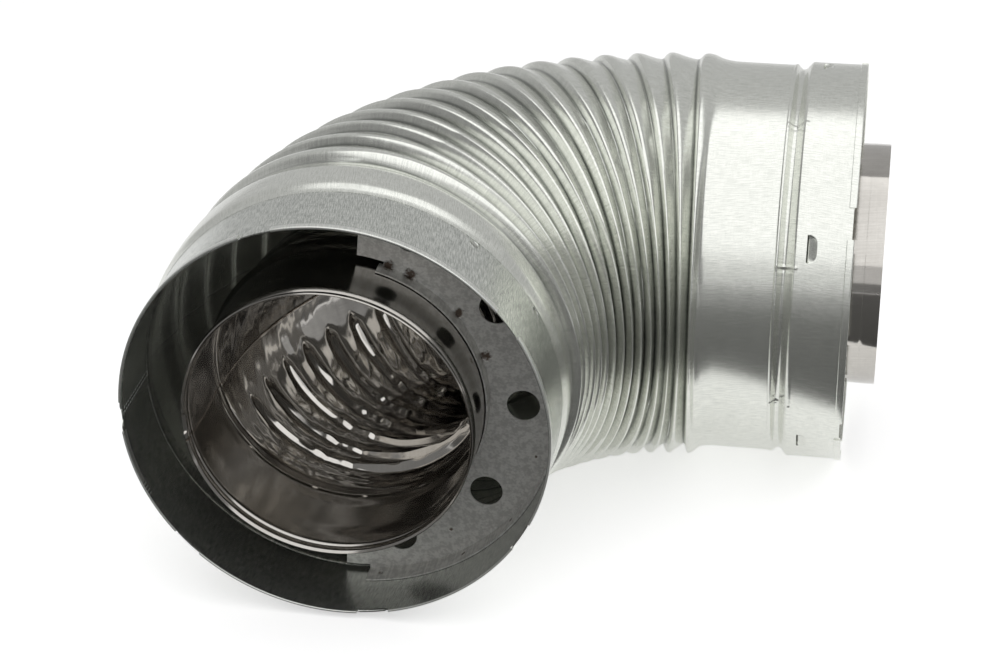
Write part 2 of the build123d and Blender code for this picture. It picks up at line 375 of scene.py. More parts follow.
# Rolled sheet: fine streaks along the pipe over a faint crossed grain, broad mottling and spangle.
# Place is along and around the sheet, in metres.
sheetRule = {
    "lean": 0.12, "alongShare": 0.75, "crossShare": 0.25, "grainDetail": 2.0, "mottleDetail": 4.0,
    "spangleScale": 14.0, "spangleShare": 0.03, "contrast": (-0.12, 0.12),
    "roughFromMottle": 0.3, "roughFromGrain": 0.7,
}


def rolledSheetGroup():
    rule = sheetRule
    group, given, out = shaderGroup("rolledSheet", [
        ("Place", "Vector", None), ("Light", "Color", (0.7, 0.72, 0.69, 1)), ("Dark", "Color", (0.5, 0.52, 0.49, 1)),
        ("Grain Length", "Float", 0.004), ("Grain Width", "Float", 0.0004), ("Mottle Size", "Float", 0.012),
        ("Mottle Share", "Float", 0.2), ("Streak Share", "Float", 0.4),
        ("Least Roughness", "Float", 0.28), ("Most Roughness", "Float", 0.45),
    ], [("Color", "Color"), ("Roughness", "Float"), ("Height", "Float")])
    apart = split(group, given["Place"])
    leaning = plus(group, apart["Y"], times(group, apart["X"], rule["lean"]))
    grains = []
    for first, second in (("Grain Length", "Grain Width"), ("Grain Width", "Grain Length")):
        fine = vector(group, over(group, apart["X"], given[first]), over(group, leaning, given[second]))
        grains.append(noise(group, fine, 1.0, rule["grainDetail"]))
    grain = plus(group, times(group, grains[0], rule["alongShare"]), times(group, grains[1], rule["crossShare"]))
    scale = over(group, 1.0, given["Mottle Size"])
    scaled = put(group, "ShaderNodeVectorMath", {0: given["Place"], "Scale": scale}, operation="SCALE").outputs[0]
    mottle = noise(group, scaled, 1.0, rule["mottleDetail"])
    spangle = put(group, "ShaderNodeTexVoronoi", {"Vector": scaled, "Scale": rule["spangleScale"]})
    flake = put(group, "ShaderNodeSeparateColor", {"Color": spangle.outputs["Color"]}).outputs[0]
    tone = plus(group, times(group, minus(group, mottle, 0.5), given["Mottle Share"]),
                times(group, minus(group, grain, 0.5), given["Streak Share"]),
                times(group, minus(group, flake, 0.5), rule["spangleShare"]))
    feed(group, out["Color"], mixed(group, span(group, tone, *rule["contrast"]), given["Dark"], given["Light"]))
    rough = plus(group, times(group, mottle, rule["roughFromMottle"]), times(group, grain, rule["roughFromGrain"]))
    feed(group, out["Roughness"], blend(group, rough, given["Least Roughness"], given["Most Roughness"]))
    feed(group, out["Height"], grain)
    return group


rolledSheet = rolledSheetGroup()
markRule = {
    "raggedScale": 900.0, "raggedDetail": 2.0, "flatShare": 0.35, "ringShare": 0.22, "ringHeight": 0.5,
    "seamFade": 0.6 * mm, "stitchEdge": (0.12, 0.3),
}


# Marks pressed or burnt into a sheet: 1 at the middle of each mark, 0 outside it, and a ring at its edge.
# A jagged mark has a ragged outline, as a burnt spot weld has.
def roundMarksGroup(name, marks, jag):
    rule = markRule
    group, given, out = shaderGroup(name, [("Place", "Vector", None)], [("Spot", "Float"), ("Ring", "Float")])
    ragged = minus(group, noise(group, given["Place"], rule["raggedScale"], rule["raggedDetail"]), 0.5)
    spots, rings = [], []
    for *middle, size in marks:
        away = put(group, "ShaderNodeVectorMath", {0: given["Place"], 1: middle}, operation="DISTANCE")
        away = away.outputs["Value"]
        if jag:
            away = plus(group, away, times(group, ragged, jag * size))
        spots.append(span(group, away, size * rule["flatShare"], size, 1.0, 0.0))
        rings.append(bell(group, away, size, size * rule["ringShare"]))
    feed(group, out["Spot"], greatest(group, spots))
    feed(group, out["Ring"], greatest(group, rings))
    return group


# Seams along the pipe, each a line at a place round the sheet: (place, width, first, last, stitch), where stitch
# is the length of one stitch and its gap, or 0 for a plain line
def seamLinesGroup(name, seams):
    group, given, out = shaderGroup(name, [("Place", "Vector", None)], [("Line", "Float"), ("Stitch", "Float")])
    apart = split(group, given["Place"])
    fade = markRule["seamFade"]
    found = {"Line": [], "Stitch": []}
    for place, width, first, last, stitch in seams:
        line = times(group, bell(group, apart["Y"], place, width), span(group, apart["X"], first, first + fade),
                     span(group, apart["X"], last, last + fade, 1.0, 0.0))
        if stitch:
            step = calc(group, "PINGPONG", apart["X"], stitch / 2)
            line = times(group, line, span(group, step, *(stitch * share for share in markRule["stitchEdge"])))
        found["Stitch" if stitch else "Line"].append(line)
    for label, masks in found.items():
        if masks:
            feed(group, out[label], greatest(group, masks))
    return group


def metalMaterial(name, values):
    material = bpy.data.materials.new(name)
    material.use_nodes = True
    tree = material.node_tree
    place = put(tree, "ShaderNodeTexCoord").outputs[values.get("coordinates", "UV")]
    if values.get("coordinates") == "Object":      # lay the sheet's pattern in the upright plane of the mouth
        turned = split(tree, place)
        place = vector(tree, turned["X"], turned["Z"], turned["Y"])
    sheet = put(tree, "ShaderNodeGroup", {"Place": place}, node_tree=rolledSheet)
    for key, value in values.items():
        if labelOf(key) in sheet.inputs:
            sheet.inputs[labelOf(key)].default_value = value
    colour, roughness = sheet.outputs["Color"], sheet.outputs["Roughness"]
    height = times(tree, sheet.outputs["Height"], values["grainHeight"])
    metallic = values.get("metallic", 1.0)
    if "marks" in values:
        group = roundMarksGroup(name + "Marks", values["marks"], values.get("markJag", 0))
        depth = values["markDepth"]
        marks = put(tree, "ShaderNodeGroup", {"Place": place}, node_tree=group).outputs
        colour = mixed(tree, times(tree, marks["Spot"], values["markStrength"]), colour, values["markColour"])
        height = minus(tree, height, times(tree, marks["Spot"], depth))
        height = plus(tree, height, times(tree, marks["Ring"], depth * markRule["ringHeight"]))
    if "seams" in values:
        group = seamLinesGroup(name + "Seams", values["seams"])
        depth = values["seamDepth"]
        seams = put(tree, "ShaderNodeGroup", {"Place": place}, node_tree=group).outputs
        colour = mixed(tree, times(tree, seams["Line"], values["seamStrength"]), colour, values["seamColour"])
        height = minus(tree, height, times(tree, seams["Line"], depth))
        if "stitchColour" in values:      # rubbed dull, so they stay light where the sheet mirrors the dark
            colour = mixed(tree, seams["Stitch"], colour, values["stitchColour"])
            height = minus(tree, height, times(tree, seams["Stitch"], depth))
            metallic = blend(tree, seams["Stitch"], metallic, values["stitchMetallic"])
    # Painted shade: a dark line painted in each valley, where a tight fold lets in little light
    if "valleyColour" in values:      # a dark line in each valley, from the fold count that the pleats carry
        count, shadeWeight = (put(tree, "ShaderNodeAttribute", attribute_name=label).outputs["Fac"]
                         for label in ("foldCount", "foldShadeWeight"))
        line = bell(tree, calc(tree, "PINGPONG", count, 0.5), 0.0, values["valleyWidth"])
        colour = mixed(tree, times(tree, line, shadeWeight, values["valleyStrength"]), colour, values["valleyColour"])
    bump = put(tree, "ShaderNodeBump", {"Strength": 1.0, "Distance": 1.0, "Height": height}).outputs[0]
    shader = tree.nodes["Principled BSDF"].inputs
    for label, value in (("Metallic", metallic), ("Base Color", colour), ("Roughness", roughness), ("Normal", bump)):
        feed(tree, shader[label], value)
    return material


# The place of a point on the front leg, by its angle round the pipe, and its radius and depth from the rim in
# millimetres: x, height, y
def onFront(angle, radius, depth):
    turn, centreX = math.radians(angle), (collarLow.x + collarHigh.x) / 2
    return (centreX - radius * mm * math.cos(turn), axisHeight + radius * mm * math.sin(turn), frontRimY + depth * mm)


# Radii at which the places round the sheets are measured, and the lap of the outer bend's seam
collarWall, bendRoot, linerRoot, sleeveWall = 83.3 * mm, 82.7 * mm, 54.5 * mm, 56.6 * mm
bendLap = math.radians(4.0)

galvanisedFinish = {
    "light": (0.86, 0.87, 0.82, 1), "dark": (0.68, 0.695, 0.65, 1),
    "leastRoughness": 0.17, "mostRoughness": 0.32, "metallic": 0.93,
    "grainLength": 0.005, "grainWidth": 0.0004, "grainHeight": 0.00001,
    "mottleSize": 0.03, "mottleShare": 0.06, "streakShare": 0.55,
    # painted shade in the pleat valleys: its colour, strength and width
    "valleyColour": (0.05, 0.06, 0.052, 1), "valleyStrength": 0.65, "valleyWidth": 0.036,
}
collarFinish = {
    **galvanisedFinish, "light": (0.84, 0.855, 0.81, 1), "dark": (0.42, 0.44, 0.41, 1),
    "streakShare": 0.7, "grainLength": 0.0045, "grainWidth": 0.0003,
    # two weld dimples above the ring
    "marks": [(0.0305, math.radians(angle) * collarWall, 0.0, 0.0021) for angle in (127, 151.5)],
    "markStrength": 0.5, "markColour": (0.5, 0.5, 0.46, 1), "markDepth": 0.0004,
    # two rows of stitches from the rim to the ring, seen at both edges of the lap, and the lap's own edge
    "seams": [(math.radians(angle) * collarWall, 0.00035, 0.0018, 0.0325, 0.0024)
              for angle in (-1.3, -0.1, 358.7, 359.9)]
             + [(math.radians(-0.7) * collarWall, 0.0002, 0.0005, 0.033, 0.0)],
    "seamStrength": 0.9, "seamColour": (0.02, 0.02, 0.02, 1), "seamDepth": 0.0006,
    "stitchColour": (0.7, 0.72, 0.68, 1), "stitchMetallic": 0.1,
}
bendFinish = {
    **galvanisedFinish,
    "seams": [(place, 0.0003, 0.03, 0.29, 0.0) for place in (0.0, (fullTurn + bendLap) * bendRoot)],
    "seamStrength": 0.8, "seamColour": (0.03, 0.032, 0.03, 1), "seamDepth": 0.0003,
}
hemFinish = {
    **galvanisedFinish, "light": (0.84, 0.85, 0.81, 1), "dark": (0.62, 0.63, 0.6, 1),
    "metallic": 0.85, "leastRoughness": 0.26, "mostRoughness": 0.4,
}
plateFinish = {
    "coordinates": "Object", "light": (0.72, 0.715, 0.69, 1), "dark": (0.54, 0.535, 0.515, 1),
    "leastRoughness": 0.42, "mostRoughness": 0.55, "metallic": 0.75,
    "grainLength": 0.0011, "grainWidth": 0.0009, "grainHeight": 0.00004,
    "mottleSize": 0.0025, "mottleShare": 0.7, "streakShare": 0.6,
    # burnt spot welds by the inner flange, then weld dots by the outer one
    "marks": [(*onFront(angle, radius, depth), size) for angle, radius, depth, size in (
        (107.0, 57.0, 30.6, 0.0026), (116.0, 57.2, 30.6, 0.0027), (139.8, 57.0, 30.6, 0.0022),
        (160.5, 57.0, 30.6, 0.0026),
        (237.0, 71.9, 31.0, 0.001), (198.0, 77.0, 31.0, 0.0007), (219.0, 82.4, 27.5, 0.0015),
        (236.8, 82.4, 27.0, 0.0015), (262.4, 82.6, 26.8, 0.0015), (247.0, 80.0, 27.0, 0.001),
        (121.0, 79.0, 31.0, 0.0008))],
    "markStrength": 0.9, "markColour": (0.085, 0.05, 0.028, 1), "markDepth": 0.00015, "markJag": 1.5,
}
linerFinish = {
    "light": (0.62, 0.60, 0.565, 1), "dark": (0.5, 0.48, 0.45, 1), "leastRoughness": 0.06, "mostRoughness": 0.12,
    "grainLength": 0.02, "grainWidth": 0.0006, "grainHeight": 0.0,
    "mottleSize": 0.03, "mottleShare": 0.3, "streakShare": 0.25,
    "seams": [(place, 0.00045, 0.044, 0.33, 0.0) for place in (0.0, fullTurn * linerRoot)],
    "seamStrength": 0.7, "seamColour": (0.2, 0.13, 0.07, 1), "seamDepth": 0.0002,
}
sleeveFinish = {
    **linerFinish, "light": (0.52, 0.50, 0.47, 1), "dark": (0.42, 0.40, 0.37, 1),
    "leastRoughness": 0.12, "mostRoughness": 0.2,
    "seams": [(math.radians(angle) * sleeveWall, 0.00045, 0.0, 0.05, 0.0) for angle in (-11, 349)],
}
galvanised = metalMaterial("galvanised", galvanisedFinish)
collarSheet = metalMaterial("galvanisedCollar", collarFinish)
bendSheet = metalMaterial("galvanisedBend", bendFinish)
hemSheet = metalMaterial("foldedEdgeSheet", hemFinish)
darkSheet = metalMaterial("galvanisedPlate", plateFinish)
bright = metalMaterial("brightLiner", linerFinish)
sleeveSheet = metalMaterial("brightSleeve", sleeveFinish)
print("materials made")


# Outer pleated bend. Curves have their places and heights from 0 to 1.
outerBend = {
    "start": 33.0 * mm, "end": 289.0 * mm,
    "seamAngle": math.radians(-1.0), "seamLap": bendLap, "lapRise": 0.35 * mm,
    "pleats": 15, "firstPleat": 7.1, "pleatPitch": 5.65,
    "pleatRadius": bendRoot, "pleatLean": 0.5 * mm, "pleatHeight": 5.3 * mm,
    "sheet": 0.45 * mm, "rows": 340, "columns": 121, "spacingDrift": 0.27,
    # Outside radii of the plain ends, by distance from the front rim, in millimetres
    "ends": [(33.0, 83.4), (34.5, 83.75), (37.0, 84.5), (39.5, 85.0), (43.0, 85.15), (50.0, 85.1), (55.0, 84.4),
             (59.0, 83.2), (62.0, 82.8),
             (238.0, 83.2), (247.0, 83.3), (254.0, 82.9), (277.9, 82.85), (278.8, 82.0), (279.6, 80.7),
             (281.0, 80.4), (283.0, 80.5), (284.6, 82.3), (285.6, 82.85), (289.0, 82.85)],
    "softFold": [(0.0, 0.0), (0.07, 0.28), (0.17, 0.84), (0.26, 1.0), (0.37, 0.93), (0.62, 0.5), (0.84, 0.16),
                 (1.0, 0.0)],
    "sharpFold": [(0.0, 0.0), (0.04, 0.3), (0.11, 0.8), (0.18, 0.98), (0.25, 1.0), (0.37, 0.9), (0.58, 0.63),
                  (0.78, 0.36), (0.92, 0.17), (1.0, 0.0)],
    "sharpening": (0.25, 0.5),
    "reach": [(0.0, 0.36), (0.25, 0.5), (0.5, 0.69), (0.75, 0.86), (1.0, 1.0)],
    "drift": [(0.0, 0.0), (0.08, 0.8), (0.3, 1.0), (0.4, 1.05), (0.55, 0.75), (0.72, 0.4), (0.8, 0.1),
              (0.88, -0.3), (1.0, 0.0)],
}
even = [(0.0, 0.0), (0.5, 0.5), (1.0, 1.0)]
pleatDefaults = {
    "rowSpacing": even, "columnSpacing": even, "drift": [(0.0, 0.0), (0.5, 0.0), (1.0, 0.0)], "spacingDrift": 0.0,
    "heightSpread": 0.1, "unevenness": 0.5, "waviness": 0.4 * mm, "ovality": 0.0, "seed": 3,
    "dentDepth": 0.0, "dentAngle": 0.0, "dentRowGap": 0.0, "dentSize": 1.0,
}


def endCurve(ends):
    radii = [radius for _, radius in ends]
    low, high = min(radii), max(radii)
    first, last = ends[0][0], ends[-1][0]
    points = [((place - first) / (last - first), (radius - low) / (high - low)) for place, radius in ends]
    return points, low * mm, high * mm


def pleatedPiece(name, given, material, shift=0.0):
    values = {**pleatDefaults, **given}
    points, least, greatestRadius = endCurve(values["ends"])
    piece = fromNodes(name, pipeTree(name + "Nodes", {**values, "ends": points}), {
        **{labelOf(key): value for key, value in values.items()},
        "Front Leg": layout["frontLeg"], "Bend Radius": bendRadius, "Centre X": bendCentreX - shift,
        "Centre Y": bendCentreY, "Axis Height": axisHeight, "Least Radius": least, "Greatest Radius": greatestRadius,
        "Material": material,
    })
    faceOut(piece, Vector((bendCentreX - shift - bendRadius, frontRimY + values["start"], axisHeight)))
    thicken(piece, values["sheet"])
    smoothOver(piece)
    return piece


own(pleatedPiece("pleatedOuterBend", outerBend, bendSheet), "galvanised", "outer_elbow")

# Pleated liner. Its folds go inwards, fade out at the outside of the bend and are dented at both sides.
linerBend = {
    "start": 42.4 * mm, "end": spigotEnd,
    "seamAngle": math.radians(-11.0), "seamLap": 0.0, "lapRise": 0.0,
    "pleats": 15, "firstPleat": 3.4, "pleatPitch": 5.2,
    "pleatRadius": linerRoot, "pleatLean": 0.2 * mm, "pleatHeight": -4.4 * mm, "heightSpread": 0.3,
    "unevenness": 1.0, "waviness": 0.8 * mm, "seed": 11, "ovality": 0.25 * mm,
    "dentDepth": 0.55 * mm, "dentAngle": math.radians(67.5), "dentRowGap": math.radians(12.5), "dentSize": 2.4 * mm,
    "sheet": 0.5 * mm, "rows": 265, "columns": 185,
    "rowSpacing": [(0.0, 0.0), (0.7, 0.46), (0.9, 0.955), (1.0, 1.0)],           # denser where the mouth shows it
    "columnSpacing": [(0.0, 0.0), (0.32, 0.572), (1.0, 1.0)],
    "ends": [(42.4, 56.15), (43.2, 56.2), (44.2, 56.0), (45.8, 54.9), (52.0, 54.7),
             (240.0, 54.2), (262.0, 53.0), (280.0, 51.4), (314.4, 51.4), (315.4, 51.48), (spigotEnd / mm, 51.5)],
    "softFold": [(0.0, 0.0), (0.25, 0.04), (0.4, 0.28), (0.47, 0.8), (0.5, 1.0), (0.53, 0.85), (0.62, 0.35),
                 (0.78, 0.08), (1.0, 0.0)],
    "sharpFold": [(0.0, 0.0), (0.28, 0.08), (0.42, 0.5), (0.48, 0.95), (0.5, 1.0), (0.53, 0.9), (0.64, 0.25),
                  (1.0, 0.0)],
    "sharpening": (0.05, 0.3),
    "reach": [(0.0, 0.0), (0.04, 0.0), (0.075, 0.4), (0.14, 0.52), (0.3, 0.5), (0.36, 0.5), (0.5, 0.7), (0.7, 0.9),
              (1.0, 1.0)],
}
own(pleatedPiece("pleatedLinerBend", linerBend, bright, layout["linerShift"]), "bright_liner", "liner_elbow")


# Turned sheet pieces: an outside outline of (radius, depth) points in millimetres, and a rule for what is pressed
# into it. A mouth is its centre, the direction of angle 0 and the direction of depth.
coarseStep = 3.0        # between the rings where nothing is pressed


def finePoints(corners, step, fineFrom):
    points = [corners[0]]
    for (radius, depth), (nextRadius, nextDepth) in zip(corners, corners[1:]):
        longest = coarseStep if nextDepth <= fineFrom else step
        count = max(1, round(math.hypot(nextRadius - radius, nextDepth - depth) / longest))
        for share in (number / count for number in range(1, count + 1)):
            points.append((radius + (nextRadius - radius) * share, depth + (nextDepth - depth) * share))
    return np.array(points)


def turnedSheet(name, values, mouth, press):
    outline = finePoints(values["outline"], values["step"], values.get("fineFrom", 0.0))
    first, last = values["seamAngle"], values["seamAngle"] + 360 + values["seamLap"]
    degrees = list(np.linspace(first, last, values["columns"]))
    for place, spread, count in values["fineAngles"]:       # closer columns where something is pressed or cut
        middle = first + (place - first) % 360
        degrees += [d for d in np.linspace(middle - spread / 2, middle + spread / 2, count) if first < d < last]
    angles = np.radians(np.unique(np.round(degrees, 3)))
    rows, columns = len(outline), len(angles)
    radius = np.repeat(outline[:, :1] * mm, columns, axis=1)
    depth = np.repeat(outline[:, 1:] * mm, columns, axis=1)
    angle = np.repeat(angles[None, :], rows, axis=0)
    radius = radius + values["lapRise"] * ((angles - angles[0])[None, :] / (angles[-1] - angles[0]) - 1)
    radius, depth = press(radius, depth, angle)
    centre, out, flow = (np.array(part, float) for part in mouth)
    places = (centre + (radius * np.cos(angle))[..., None] * out
              + (radius * np.sin(angle))[..., None] * np.array([0.0, 0.0, 1.0]) + depth[..., None] * flow)
    index = np.arange(rows * columns).reshape(rows, columns)
    quads = np.stack([index[:-1, :-1], index[1:, :-1], index[1:, 1:], index[:-1, 1:]], axis=-1).reshape(-1, 4)
    mesh = bpy.data.meshes.new(name)
    mesh.from_pydata(places.reshape(-1, 3).tolist(), [], quads.tolist())
    uv = mesh.uv_layers.new(name="UVMap")
    girth = angle * float(outline[0, 0]) * mm
    sheetPlace = np.stack([depth + values.get("uvStart", 0.0), girth], axis=-1).reshape(-1, 2)
    corners = np.empty(len(mesh.loops), dtype=np.int64)
    mesh.loops.foreach_get("vertex_index", corners)
    uv.data.foreach_set("uv", sheetPlace[corners].ravel())
    piece = bpy.data.objects.new(name, mesh)
    bpy.context.scene.collection.objects.link(piece)
    faceOut(piece, Vector(centre + flow * depth[0, 0]))
    thicken(piece, values["sheet"])
    return piece


frontCentre = (bendCentreX - bendRadius, frontRimY, axisHeight)
frontMouth = (frontCentre, (-1, 0, 0), (0, 1, 0))
linerMouth = ((frontCentre[0] - layout["linerShift"], frontRimY, axisHeight), *frontMouth[1:])
rearMouth = ((rearRimX, bendCentreY + bendRadius, axisHeight), (0, 1, 0), (-1, 0, 0))

# The folded edge of both collars, broken by gaps
foldedEdge = {
    "gapAngles": [71.5, 144, 210, 261, 316.5], "gapSpan": 9.0, "cutMargin": 0.3,
    "width": 3.0 * mm, "height": 0.45 * mm, "sunk": 0.03 * mm, "backRounding": 0.3 * mm,
    "stepAngle": 1.0, "rounding": 6,
}


def foldedEdgeStrip(name, radius, mouth, values):
    low = radius - values["height"] - values["sunk"]
    high = radius + values["height"]
    half, back, rounding = (high - low) / 2, values["backRounding"], values["rounding"]
    profile = []
    for turn in (math.pi * part / rounding for part in range(rounding + 1)):           # round nose at the rim
        profile.append(((low + high) / 2 - half * math.cos(turn), half - half * math.sin(turn)))
    for turn in (math.pi / 2 * part / rounding for part in range(rounding + 1)):       # edge of the turned-back lap
        profile.append((high - back + back * math.cos(turn), values["width"] - back + back * math.sin(turn)))
    profile.append((low, values["width"]))
    gaps = sorted(values["gapAngles"])
    centre, out, flow = (Vector(part) for part in mouth)
    up = Vector((0, 0, 1))
    build = bmesh.new()
    for gap, following in zip(gaps, gaps[1:] + [gaps[0] + 360]):
        first, last = gap + values["gapSpan"] / 2, following - values["gapSpan"] / 2
        steps = max(2, round((last - first) / values["stepAngle"]))
        loops = []
        for step in range(steps + 1):
            turn = math.radians(first + (last - first) * step / steps)
            way = out * math.cos(turn) + up * math.sin(turn)
            loops.append([build.verts.new(centre + way * r + flow * d) for r, d in profile])
        for loop, nextLoop in zip(loops, loops[1:]):
            for corner in range(len(profile)):
                other = (corner + 1) % len(profile)
                build.faces.new((loop[corner], loop[other], nextLoop[other], nextLoop[corner]))
        build.faces.new(loops[0])
        build.faces.new(list(reversed(loops[-1])))
    bmesh.ops.recalc_face_normals(build, faces=build.faces)
    mesh = bpy.data.meshes.new(name)
    build.to_mesh(mesh)
    build.free()
    uv = mesh.uv_layers.new(name="UVMap")
    for loop in mesh.loops:
        spot = mesh.vertices[loop.vertex_index].co - centre
        uv.data[loop.index].uv = (spot.dot(flow), math.atan2(spot.z, spot.dot(out)) * radius)
    piece = bpy.data.objects.new(name, mesh)
    bpy.context.scene.collection.objects.link(piece)
    return piece


# A sheet and its folded edge as one piece, each with its own material
def joined(name, pieces, materials):
    for piece, material in zip(pieces, materials):
        piece.data.materials.append(material)
    with bpy.context.temp_override(active_object=pieces[0], selected_editable_objects=pieces,
                                   selected_objects=pieces, object=pieces[0]):
        bpy.ops.object.join()
    pieces[0].name = name
    pieces[0].data.name = name
    smoothOver(pieces[0])
    return pieces[0]


def wrapped(angle, centre):
    return (angle - math.radians(centre) + math.pi) % fullTurn - math.pi


def mound(away, width):
    return np.exp(-(away / width) ** 2)


# The sheet is cut back between the folds of the edge
def cutGaps(depth, angle, gapDepth):
    for gap in foldedEdge["gapAngles"]:
        inGap = np.abs(wrapped(angle, gap)) < math.radians(foldedEdge["gapSpan"] / 2 - foldedEdge["cutMargin"])
        depth = np.maximum(depth, np.where(inGap, gapDepth, 0.0))
    return depth


def notchBite(angle, values):
    away = np.abs(wrapped(angle, values["notchAngle"])) / math.radians(values["notchSpan"] / 2)
    return np.clip(values["notchSlope"] - away * values["notchSlope"], 0, 1) * values["notchDepth"]


frontCollar = {
    "outline": [(83.3, 0.4), (83.3, 1.6), (83.3, 33.2), (83.0, 33.5), (82.75, 33.8), (82.7, 34.3), (82.7, 39.0)],
    "step": 0.6, "columns": 361, "seamAngle": -2.0, "seamLap": 5.0, "lapRise": 0.4 * mm, "sheet": 0.45 * mm,
    "fineAngles": [(gap, 10.0, 21) for gap in foldedEdge["gapAngles"]] + [(358.0, 6.0, 15)],
    "gapDepth": 1.0 * mm, "notchAngle": 358.0, "notchSpan": 5.0, "notchDepth": 2.0 * mm, "notchSlope": 3.0,
}


def pressFrontCollar(radius, depth, angle):
    notched = np.maximum(depth, notchBite(angle, frontCollar))
    return radius, cutGaps(notched, angle, frontCollar["gapDepth"])


collar = turnedSheet("frontCollarSheet", frontCollar, frontMouth, pressFrontCollar)
frontEdge = {**foldedEdge, "gapAngles": foldedEdge["gapAngles"] + [frontCollar["notchAngle"]]}
rim = foldedEdgeStrip("frontEdge", collarWall, frontMouth, frontEdge)
own(joined("frontCollarPiece", [collar, rim], [collarSheet, hemSheet]), "galvanised", "front_collar")

rearCollar = {
    # A rounded groove between two soft lips
    "outline": [(84.5, 0.4), (84.5, 13.6), (84.5, 19.4), (84.5, 21.4), (84.62, 22.1), (84.6, 22.8), (84.2, 23.5),
                (83.0, 24.5), (82.0, 25.3), (81.3, 26.1), (81.05, 26.8), (81.1, 27.5), (81.6, 28.2), (82.5, 29.0),
                (83.15, 29.6), (83.3, 30.0), (83.15, 30.5), (82.92, 30.8)],
    "step": 0.3, "fineFrom": 13.6, "columns": 241, "seamAngle": -2.0, "seamLap": 4.0, "lapRise": 0.35 * mm,
    "sheet": 0.45 * mm, "uvStart": 0.25, "wall": 84.5 * mm, "gapDepth": 1.0 * mm,
    # lugs, each with a slit along the groove's side
    "lugTurn": 7.5, "lugEdge": 18.4 * mm, "lugHalfLength": 5.6 * mm, "lugWidth": 3.9 * mm, "lugHeight": 1.5 * mm,
    "lugSlope": 0.75, "slitDepth": 1.2 * mm, "slitShare": 0.1, "slitBow": 0.3,
    # die marks on the lock groove and its lips
    "groove": (23.4 * mm, 29.9 * mm), "grooveEase": 1.2 * mm, "lips": [(22.5 * mm, 0.8 * mm), (30.1 * mm, 0.5 * mm)],
    "dieMarks": 8, "firstDieMark": 113.5, "dieMarkTurn": 43.3, "dieMarkWidth": 0.55 * mm, "dieMarkHeight": 0.4 * mm,
    "lipMarkHeight": 0.25 * mm, "dipPlace": 2.2, "dipShare": 0.5,
}
rearCollar["fineAngles"] = [(gap + rearCollar["lugTurn"], 10.0, 45) for gap in foldedEdge["gapAngles"]]
rearCollar["fineAngles"] += [(gap, 10.0, 13) for gap in foldedEdge["gapAngles"]]
rearCollar["fineAngles"] += [(rearCollar["firstDieMark"] + mark * rearCollar["dieMarkTurn"], 3.0, 11)
                             for mark in range(rearCollar["dieMarks"])]


# Each lug is sheared along its edge by the groove and slopes back up towards the rim
def pressRearCollar(radius, depth, angle):
    values = rearCollar
    pressed = radius.copy()
    for gap in foldedEdge["gapAngles"]:
        across = wrapped(angle, gap + values["lugTurn"]) * radius / values["lugHalfLength"]
        bow = np.sqrt(np.clip(1 - across ** 4, 0, 1))
        share = (values["lugEdge"] - depth) / (values["lugWidth"] * np.maximum(bow, 0.01))
        inside = (bow > 0.02) & (share > 0) & (share < 1)
        slope = np.clip(1 - share, 0, 1) ** values["lugSlope"]
        pressed -= np.where(inside, values["lugHeight"] * bow * slope, 0.0)
        slit = (bow > values["slitBow"]) & (share > 0) & (share < values["slitShare"])
        pressed -= np.where(slit, values["slitDepth"], 0.0)
    (rimSide, bendSide), ease = values["groove"], values["grooveEase"]
    inGroove = np.clip((depth - rimSide) / ease, 0, 1) * np.clip((bendSide - depth) / ease, 0, 1)
    onLips = sum(mound(depth - place, width) for place, width in values["lips"])
    for mark in range(values["dieMarks"]):
        away = wrapped(angle, values["firstDieMark"] + mark * values["dieMarkTurn"]) * radius
        width = values["dieMarkWidth"]
        ridge, dip = mound(away, width), mound(away - values["dipPlace"] * width, width)
        pressed += values["dieMarkHeight"] * inGroove * (ridge - values["dipShare"] * dip)
        pressed += values["lipMarkHeight"] * onLips * ridge
    return pressed, cutGaps(depth, angle, values["gapDepth"])


socket = turnedSheet("rearCollarSheet", rearCollar, rearMouth, pressRearCollar)
rearRim = foldedEdgeStrip("rearEdge", rearCollar["wall"], rearMouth, foldedEdge)
own(joined("rearCollarPiece", [socket, rearRim], [galvanised, galvanised]), "galvanised", "rear_collar")

linerSleeve = {
    "outline": [(56.6, 0.45), (56.4, 0.7), (56.1, 1.0), (55.82, 1.35), (55.7, 1.9), (55.7, 3.6), (56.3, 4.3),
                (56.7, 5.0), (56.3, 5.7), (55.7, 6.4), (55.7, 40.6), (56.4, 41.5), (56.85, 42.5), (56.85, 43.5),
                (56.4, 44.5), (55.7, 45.4), (55.7, 50.0)],
    "step": 0.7, "columns": 361, "seamAngle": -11.0, "seamLap": 0.0, "lapRise": 0.0, "sheet": 0.5 * mm,
    "stakeAngles": [4.5, 349.4, 318, 287, 266, 240, 216], "stakeDepth": 0.55 * mm, "stakeWidth": 1.3 * mm,
    "beadPlace": 43 * mm, "beadWidth": 1.6 * mm,
    "notchAngle": 356.3, "notchSpan": 9.5, "notchDepth": 1.3 * mm, "notchSlope": 6.0, "rimDepth": 0.45 * mm,
    # it widens a little to fill the plate's flange
    "fillFrom": 10 * mm, "fillTo": 40 * mm, "fillEase": (10 * mm, 6 * mm), "fillOut": 0.45 * mm, "fillShift": 0.8 * mm,
}
linerSleeve["fineAngles"] = [(angle, 5.0, 17) for angle in linerSleeve["stakeAngles"]]
linerSleeve["fineAngles"] += [(linerSleeve["notchAngle"], 12.0, 33)]


